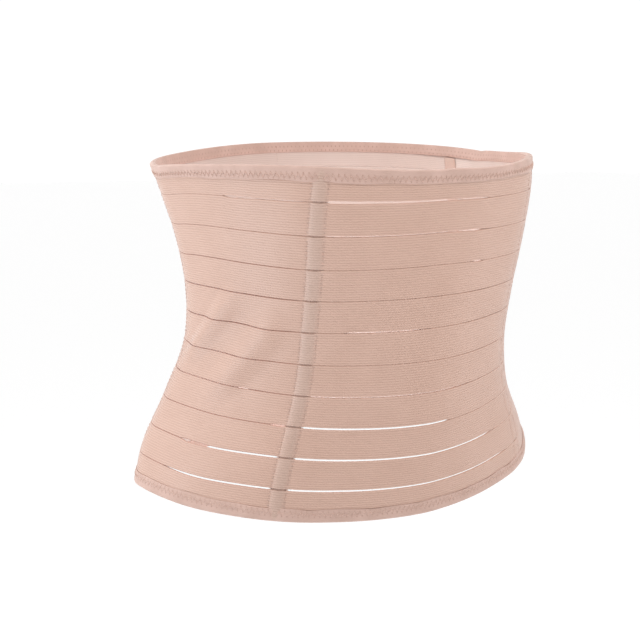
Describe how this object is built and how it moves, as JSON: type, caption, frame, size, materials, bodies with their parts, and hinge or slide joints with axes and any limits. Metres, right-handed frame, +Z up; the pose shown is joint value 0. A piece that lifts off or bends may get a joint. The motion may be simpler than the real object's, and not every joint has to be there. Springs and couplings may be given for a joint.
{
  "type": "postpartum belly band",
  "caption": "Waist-shaping elastic belly band of level ribbed strips with slits between them, bound edges, upright bone casings and a plain back closure.",
  "frame": {"origin": "centre of the waist, on the axis of the body that the band is worn round", "axes": "+Z up along the body, -Y towards the wearer's front, +X towards the wearer's left"},
  "size_m": [0.3045, 0.2385, 0.2333],
  "materials": {
    "ribbed_elastic": "pale nude-pink ribbed elastic",
    "folded_elastic": "pale nude-pink folded elastic",
    "casing_tape": "woven tape",
    "closure_cloth": "plain brushed cloth"
  },
  "bodies": {
    "root": {"strip_01": "ribbed_elastic", "strip_02": "ribbed_elastic", "strip_03": "ribbed_elastic", "strip_04": "ribbed_elastic", "strip_05": "ribbed_elastic", "strip_06": "ribbed_elastic", "strip_07": "ribbed_elastic", "strip_08": "ribbed_elastic", "strip_09": "ribbed_elastic", "strip_10": "ribbed_elastic", "strip_11": "ribbed_elastic", "top_binding": "folded_elastic", "bottom_binding": "folded_elastic", "bone_casing_front_right": "casing_tape", "bone_casing_front_left": "casing_tape", "bone_casing_side_right": "casing_tape", "bone_casing_side_left": "casing_tape", "back_closure": "closure_cloth"}
  },
  "joints": []
}
